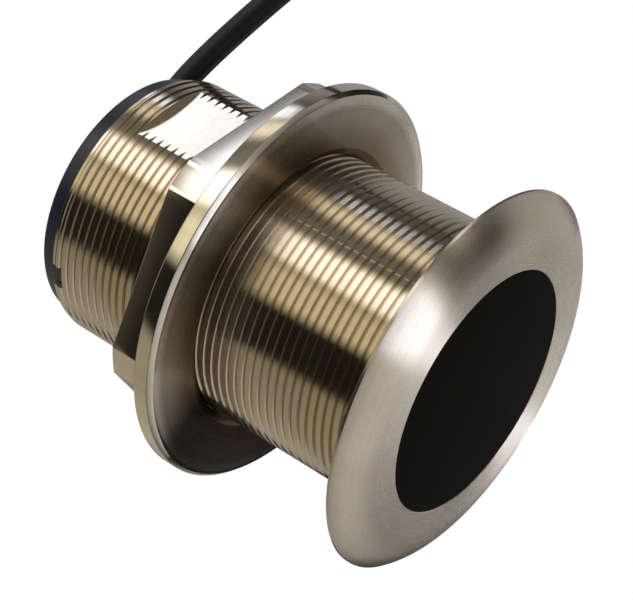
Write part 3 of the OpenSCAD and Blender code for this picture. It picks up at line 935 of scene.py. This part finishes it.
def make_cap():
    seat = STEM_L + 0.02
    plate = [
        (0, CAP_TOP), (CAP_R, CAP_TOP, CAP_EDGE), (CAP_R, seat), (SPIGOT_R, seat),
        (SPIGOT_R, SPIGOT_Z), (0, SPIGOT_Z),
    ]
    bm = bmesh.new()
    lathe(bm, rounded(plate, 8))
    mouth_lean = 0.9
    loops = []
    for half, z in hump_levels():
        share = min(max(z - EXIT_Z, 0) / HUMP_R, 1)
        lead = max(half - HUMP_R, 0) - mouth_lean * (1 - cos(share * pi / 2)) ** 3
        loops.append([bm.verts.new(p) for p in hump_loop(half, z, lead)])
    join_loops(bm, loops)
    bm.faces.new(loops[-1])
    bm.faces.new(loops[0][::-1])
    play, bite, lap = 0.2, 0.4, 0.5
    box(
        bm,
        (-KEY_W / 2 + play, -ROOT_R + play, STEM_L - KEY_DEPTH + play),
        (KEY_W / 2 - play, -SPIGOT_R + bite, STEM_L + lap),
    )
    add_piece("rear_cap_moulding", finished(bm, 35), CAP_BLACK, "rear_cap")


make_cap()


def make_relief():
    root_r, tip_r = CABLE_R + 1.6, CABLE_R + 0.55
    root_z = HUMP_MOUTH - 1.5
    profile = [
        (0, root_z), (root_r, root_z), (root_r, HUMP_MOUTH + 0.6), (tip_r, RELIEF_END, 0.3),
        (CABLE_R - 0.1, RELIEF_END), (0, RELIEF_END - 0.5),
    ]
    ribs = {
        "Start": HUMP_MOUTH + 1.2, "Spacing": (RELIEF_END - HUMP_MOUTH - 2.2) / 5,
        "Near Radius": root_r - 0.15, "Far Radius": tip_r - 0.1, "Rib Radius": 0.5, "Count": 6,
    }
    bm = bmesh.new()
    lathe(bm, rounded(profile), even_angles(48), AT_EXIT)
    add_ribs(bm, CAP_BLACK, AT_EXIT, ribs)
    add_piece("relief_sleeve", finished(bm, 40), CAP_BLACK, "strain_relief")


make_relief()


# Ties round the coil: a flat strap round the wound section
def tie_outline(grow, steps=10):
    """Points round the wound section, grown outwards, and back to the first."""
    low_r, high_r = INNER_TURN_R - CABLE_R - grow, OUTER_TURN_R + CABLE_R + grow
    low_z, high_z = COIL_BASE - grow, COIL_BASE + COIL_LAYERS * CABLE_D + grow
    corner = CABLE_R
    corners = [(high_r, low_z, 0), (high_r, high_z, 90), (low_r, high_z, 180), (low_r, low_z, 270)]
    points = []
    for r, z, turn in corners:
        cr = r - corner if r == high_r else r + corner
        cz = z - corner if z == high_z else z + corner
        for k in range(steps + 1):
            angle = radians(turn - 90 + 90 * k / steps)
            points.append((cr + corner * cos(angle), cz + corner * sin(angle)))
    points.append(points[0])
    return points


def make_ties():
    half, soft, gap = TIE_W / 2, 0.12, 0.04
    bm = bmesh.new()
    for angle in TIE_ANGLES:
        place = AT_COIL @ Matrix.Rotation(radians(angle), 4, "Z")
        loops = []
        for (ri, zi), (ro, zo) in zip(tie_outline(gap), tie_outline(TIE_T)):
            section = [(ri, -half, zi), (ro, -half + soft, zo), (ro, half - soft, zo), (ri, half, zi)]
            loops.append([bm.verts.new(place @ Vector(p)) for p in section])
        join_loops(bm, loops)
    return add_piece("coil_straps", finished(bm, 40), STRAP, "coil_ties")


ties = make_ties()


# Connector at the cable's end
def make_boot():
    neck_r = CABLE_R + 0.9
    profile = [
        (0, 0), (neck_r, 0, 0.4), (neck_r + 0.3, 3), (BOOT_R - 0.7, BOOT_L - 4, 2),
        (BOOT_R, BOOT_L), (0, BOOT_L),
    ]
    ribs = {
        "Start": 4.0, "Spacing": 1.9, "Near Radius": neck_r + 0.55, "Far Radius": BOOT_R - 1.25,
        "Rib Radius": 0.55, "Count": 5,
    }
    bm = bmesh.new()
    lathe(bm, rounded(profile), even_angles(64), AT_CONNECTOR)
    add_ribs(bm, SHELL_BLACK, AT_CONNECTOR, ribs)
    return add_piece("plug_boot", finished(bm, 40), SHELL_BLACK, "connector_boot")


def make_shell():
    profile = [
        (0, BOOT_L), (COLLAR_R, BOOT_L, 0.4), (COLLAR_R, COLLAR_END, 0.3), (SHELL_R, COLLAR_END, 0.2),
        (SHELL_R, STOP_LOW), (COLLAR_R, STOP_LOW, 0.2), (COLLAR_R, STOP_HIGH, 0.2), (SHELL_R, STOP_HIGH),
        (SHELL_R, SHELL_END, 0.3), (SOCKET_R, SHELL_END, 0.3), (SOCKET_R, SOCKET_FLOOR), (0, SOCKET_FLOOR),
    ]
    bm = bmesh.new()
    lathe(bm, rounded(profile), even_angles(96), AT_CONNECTOR)
    return add_piece("plug_shell", finished(bm), SHELL_BLACK, "connector_shell")


def make_insert():
    foot = SOCKET_FLOOR + 0.05
    profile = [
        (0, foot), (INSERT_R, foot), (INSERT_R, INSERT_END, 0.4), (INSERT_R - 1.1, INSERT_END, 0.2),
        (INSERT_R - 1.4, INSERT_FACE, 0.2), (0, INSERT_FACE),
    ]
    bm = bmesh.new()
    lathe(bm, rounded(profile), even_angles(64), AT_CONNECTOR)
    return add_piece("plug_insert", finished(bm), INSERT_GREY, "connector_insert")


def make_contacts():
    sizes = {"Reach": PIN_REACH, "Pin Radius": PIN_R, "Pin Length": PIN_L, "Count": 6}
    pins = from_nodes(CONTACT_PINS, PIN_GOLD, sizes)
    pins.transform(AT_CONNECTOR @ Matrix.Translation((0, 0, PIN_FOOT)))
    bm = bmesh.new()
    bm.from_mesh(pins)
    return add_piece("plug_pins", finished(bm, 40), PIN_GOLD, "connector_contacts")


def make_ring():
    """Coupling ring with round flutes that fade out at both ends of the grip."""
    edge, fade, fade_steps = 0.5, 1.5, (0.0, 0.5, 1.0, 1.6)

    def flute(angle, r, z):
        if r < RING_R - edge:
            return 0.0
        off = (angle * FLUTES / (2 * pi) + 0.5) % 1 - 0.5
        ends = ease((z - GRIP_LOW) / fade) * ease((GRIP_HIGH - z) / fade)
        return -FLUTE_DEPTH * ends * max(0.0, cos(off * pi * 1.7)) ** 1.5

    grip = [GRIP_LOW + step for step in fade_steps] + [GRIP_HIGH - step for step in fade_steps[::-1]]
    profile = [(RING_LIP_R, RING_LOW), (RING_R - edge, RING_LOW)]
    profile += [(RING_R, z) for z in (RING_LOW + edge, *grip, RING_HIGH - edge)]
    profile += [
        (RING_R - edge, RING_HIGH), (RING_BORE_R, RING_HIGH), (RING_BORE_R, RING_LIP_END),
        (RING_LIP_R, RING_LIP_END), (RING_LIP_R, RING_LOW),
    ]
    bm = bmesh.new()
    lathe(bm, profile, even_angles(192), AT_CONNECTOR, flute)
    return add_piece("plug_ring", finished(bm, 35), SHELL_BLACK, "coupling_ring", "ring")


plug = [make_boot(), make_shell(), make_insert(), make_contacts(), make_ring()]


# Finishes of the sealed pieces inside the stem
CORK = moulded("cork", rgb(0.42, 0.27, 0.14), rgb(0.22, 0.13, 0.06), 0.85, 420.0, 0.4)
RESIN = moulded("potting_resin", rgb(0.035, 0.031, 0.027), rgb(0.055, 0.050, 0.042), 0.35, 500.0)
FERRITE = moulded("ferrite", rgb(0.055, 0.055, 0.06), rgb(0.085, 0.085, 0.09), 0.5, 1600.0)
INNER_FINISHES = {
    "piezo_disc": moulded("piezo_ceramic", rgb(0.66, 0.60, 0.48), rgb(0.56, 0.50, 0.39), 0.6, 1500.0),
    "isolation_sleeve": CORK,
    "backing_pad": CORK,
    "lead_hot": moulded("red_insulation", rgb(0.45, 0.03, 0.02), rgb(0.36, 0.02, 0.02), 0.45),
    "lead_return": moulded("black_insulation", rgb(0.015, 0.015, 0.016), rgb(0.03, 0.03, 0.03), 0.45),
    "thermistor": RESIN,
    "thermistor_leads": bright_metal("tinned_copper", rgb(0.72, 0.72, 0.70), rgb(0.60, 0.59, 0.56), 0.3),
    "potting_front": RESIN,
    "circuit_board": moulded("board_green", rgb(0.015, 0.16, 0.06), rgb(0.02, 0.11, 0.045), 0.35, 1700.0),
    "core_lower": FERRITE,
    "core_upper": FERRITE,
    "coil_former": moulded("coil_former_nylon", rgb(0.74, 0.70, 0.60), rgb(0.66, 0.62, 0.52), 0.45),
    "winding": bright_metal("enamelled_copper", rgb(0.62, 0.27, 0.10), rgb(0.48, 0.19, 0.07), 0.28),
    "id_chip": moulded("chip_black", rgb(0.012, 0.012, 0.013), rgb(0.022, 0.022, 0.024), 0.5, 2200.0),
    "cable_conductors": moulded("white_insulation", rgb(0.68, 0.65, 0.56), rgb(0.58, 0.55, 0.46), 0.45),
    "cable_tail": JACKET,
    "potting_rear": RESIN,
}
for node_name, finish in INNER_FINISHES.items():
    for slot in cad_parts[node_name].material_slots:
        slot.material = finish


# Studio: white surroundings, lights round the stem, one dark card that stands in for shade in reflections,
# and a floor that keeps the shadow
NEAR_SIDE = radians(41.7)
FAR_SIDE = radians(48.3)
VIEW_DROP = radians(27)
MIRROR_DROP = radians(22)
ROOM_LEVEL = 0.8
WHITE = rgb(1, 1, 1)
WARM_WHITE = rgb(1, 0.92, 0.66)
COOL_WHITE = rgb(0.92, 1, 1.18)
# Strip lights: bearing from the near side in degrees, level, warmth, and 1 under the raised light
STRIPS = [
    (-170, 0.22, 0.6, 0), (-140, 0.48, 0.7, 0), (-125, 0.46, 0.8, 0), (-75, 0.40, 0.9, 0),
    (-63, 0.37, 0.9, 0), (-56, 0.01, 0.8, 0), (-22, 0.01, 1, 0), (-12, 1.15, 1, 0), (4, 1.2, 1, 0),
    (12, 0.78, 1, 0), (18, 2.3, 0.1, 0), (34, 2.6, 0, 0), (41, 0.28, 0.5, 0), (60, 0.16, 0.6, 0),
    (67, 1.3, 0.6, 0), (74, 1.3, 0.6, 0), (78, 0.35, 0.5, 0), (82, 0.20, 0, 0), (83, 0.20, 0, 1),
    (94, 0.10, 0, 1), (96, 0.10, 0, 0), (110, 0.23, 0, 0), (126, 0.38, 0, 0), (170, 0.36, 0, 0),
]
# Light below: bearing in degrees, level near the middle and far out, and 1 where it is cool
WEDGES = [
    (-155, 0.08, 0.08, 0), (-145, 0.09, 0.10, 0), (-110, 0.13, 0.20, 0), (-85, 0.20, 0.42, 0),
    (-60, 0.38, 0.64, 0), (-36, 0.60, 0.80, 0), (-18, 0.70, 0.78, 0), (-5, 0.74, 0.72, 0), (-1, 2.4, 2.1, 1),
    (16.5, 2.5, 2.2, 1), (20, 0.75, 0.80, 0), (24, 0.40, 0.22, 0), (30, 0.28, 0.06, 0), (40, 0.24, 0, 0),
    (49, 0.25, 0, 0), (56, 0.34, 0.26, 0), (64, 0.43, 0.44, 0), (90, 0.48, 0.56, 0), (118, 0.44, 0.50, 0),
    (144, 0.44, 0.44, 0), (165, 0.46, 0.46, 0), (177, 0.55, 0.55, 0), (180, 2.3, 2.3, 1), (196, 2.2, 2.2, 1),
    (199, 0.30, 0.30, 0),
]


def by_bearing(tree, bearing, rows):
    """Three levels that change with the bearing, blended between the rows of a table."""
    share = tree.math("WRAP", bearing, 2 * pi, 0.0) / (2 * pi)
    stops = sorted((angle % 360 / 360, rgb(*levels)) for angle, *levels in rows)
    return tree.split(tree.node("ShaderNodeValToRGB", {"stops": stops}, {0: share}))


def strip_light(tree, x, y, z, side, to_camera):
    """The strip lights' level and warmth, and where the raised light stands."""
    brightest = max(row[1] for row in STRIPS)
    rows = [(angle, level / brightest, warmth, raised) for angle, level, warmth, raised in STRIPS]
    level, warm, raised = by_bearing(tree, tree.math("ARCTAN2", y, x) + NEAR_SIDE, rows)
    level = level * brightest + raised * tree.ramp(z, 0.46, 0.505) * 2.0
    level = level * tree.ramp(to_camera, 0.62, 0.85, 1.0, 0.05)
    level = level * (1 - tree.ramp(side, 0.0, -0.35) * tree.ramp(z, 0.10, -0.20, 0.0, 0.85))
    level = level + tree.ramp(z, 0.68, 0.84) * (tree.ramp(z, 0.88, 0.96, 0.06, 0.6) - level)
    return level, warm, raised


def ground_light(tree, z, side, toward):
    """The level of the light below, where it is cool, and how far it takes over from the strips."""
    brightest = max(row[1] for row in WEDGES)
    rows = [(angle, near / brightest, far / brightest, cool) for angle, near, far, cool in WEDGES]
    lean = toward + cos(MIRROR_DROP)
    drop = sin(MIRROR_DROP) - z
    spread = (lean * lean + side * side) ** 0.5
    slope = spread / drop
    near, far, cool = by_bearing(tree, tree.math("ARCTAN2", side, lean), rows)
    level = (near + tree.ramp(slope, 0.25, 0.60) * (far - near)) * brightest
    level = level * tree.ramp(slope, 0.92, 1.0, 1.0, 0.7) + tree.ramp(slope, 0.92, 1.0, 0.0, 0.2)
    level = level + tree.ramp(slope, 1.25, 1.40) * (tree.ramp(side, -0.1, 0.4, 0.06, 0.5) - level)
    facing = tree.ramp(drop / (spread * spread + drop * drop) ** 0.5, 0.45, 0.60)
    return level, cool, facing


def studio_world():
    """White to the camera, an even room to matt surfaces, and lights and dark gaps to metal."""
    world = bpy.data.worlds.new("studio")
    world.use_nodes = True
    scene.world = world
    tree = Tree(world.node_tree)
    x, y, z = tree.split(tree.node("ShaderNodeTexCoord", out="Generated"))
    side = x * cos(FAR_SIDE) + y * sin(FAR_SIDE)
    toward = x * cos(NEAR_SIDE) - y * sin(NEAR_SIDE)
    to_camera = toward * cos(VIEW_DROP) - z * sin(VIEW_DROP)
    strips, warm, raised = strip_light(tree, x, y, z, side, to_camera)
    ground, cool, facing = ground_light(tree, z, side, toward)
    shine = (strips + facing * (ground - strips)) * tree.ramp(to_camera, 0.83, 0.94, 1.0, 0.04)
    rays = ("Is Camera Ray", "Is Glossy Ray", "Is Transmission Ray")
    seen, glossy, through = tree.node("ShaderNodeLightPath", out=rays)
    mirrored = (glossy + through).clamped()
    level = ROOM_LEVEL + mirrored * (shine - ROOM_LEVEL)
    strength = level + seen * (1.0 - level)
    colour = tree.blend(warm * (1 - facing) * mirrored, WHITE, WARM_WHITE)
    coolness = (cool * facing + raised * (1 - facing)).clamped() * mirrored
    colour = tree.blend(coolness, colour, COOL_WHITE)
    tree.feed(world.node_tree.nodes["Background"], {"Color": colour, "Strength": strength})


def studio_lamp(name, place, size, power, aim=(0, 0, 40)):
    data = bpy.data.lights.new(name, "AREA")
    data.shape = "DISK"
    data.size = size
    data.energy = power
    lamp = put_in_scene(name, data)
    spot = Vector(place) * MM
    back = (spot - Vector(aim) * MM).normalized()
    lamp.matrix_world = Matrix.Translation(spot) @ back.to_track_quat("Z", "Y").to_matrix().to_4x4()
    lamp.visible_glossy = False
    lamp.visible_camera = False


def studio_floor():
    """White floor seen from above only; it fades out into the white surroundings."""
    middle_x, middle_y, height, half = 0.03, 0.08, -0.0002, 1.2
    material = bpy.data.materials.new("floor_paper")
    material.use_nodes = True
    tree = Tree(material.node_tree)
    nodes = material.node_tree.nodes
    nodes.remove(nodes["Principled BSDF"])
    place = tree.node("ShaderNodeTexCoord", out="Object")
    x, y, _ = tree.split(place)
    off_x, off_y = x - middle_x, y - middle_y
    reach = (off_x * off_x + off_y * off_y) ** 0.5
    fade = tree.ramp(reach, 0.22, 0.6, 1.0, 0.0)
    grain = tree.noise(place, 400.0, 3.0)
    tone = tree.blend(grain, rgb(0.93, 0.93, 0.93), rgb(0.96, 0.96, 0.96))
    paper = tree.node("ShaderNodeBsdfDiffuse", {}, {"Color": tone})
    clear = tree.node("ShaderNodeBsdfTransparent")
    seen = tree.node("ShaderNodeLightPath", out="Is Camera Ray")
    behind = tree.node("ShaderNodeNewGeometry", out="Backfacing")
    mix = tree.node("ShaderNodeMixShader", {}, {0: seen * (1 - behind) * fade, 1: clear, 2: paper})
    tree.feed(nodes["Material Output"], {"Surface": mix})
    bm = bmesh.new()
    bmesh.ops.create_grid(bm, x_segments=8, y_segments=8, size=half)
    bmesh.ops.translate(bm, verts=bm.verts, vec=(middle_x, middle_y, height))
    mesh = bpy.data.meshes.new("floor")
    bm.to_mesh(mesh)
    bm.free()
    mesh.materials.append(material)
    put_in_scene("floor", mesh)


def shade_card():
    """Dark card behind the lower side of the stem, a dark sheet standing in for the shaded ground that the
    nut's lower face mirrors; only reflections show it.
    """

    def paint(tree, place):
        weave = tree.noise(place, 900.0)
        return {"Base Color": tree.blend(weave, rgb(0.003, 0.003, 0.003), rgb(0.006, 0.005, 0.004))}

    material = finish_material("shade_card_cloth", rgb(0.004, 0.004, 0.004), paint, {"Roughness": 1.0})
    turn = Matrix.Rotation(-NEAR_SIDE, 4, "Z")
    behind = -50
    outline = ((-24, 2), (-24, 46), (-100, 46), (-100, -2), (-38, -2), (-38, 2))
    corners = [turn @ Vector((behind, across, height)) * MM for across, height in outline]
    mesh = bpy.data.meshes.new("flag")
    mesh.from_pydata(corners, [], [range(len(corners))])
    mesh.materials.append(material)
    flag = put_in_scene("flag", mesh)
    flag.visible_camera = False
    flag.visible_diffuse = False
    flag.visible_shadow = False


studio_world()
shade_card()
studio_lamp("key_lamp", (500, -300, 900), 0.7, 9)
studio_lamp("fill_lamp", (-600, 300, 700), 0.9, 5)
studio_floor()
scene.view_settings.view_transform = "Standard"
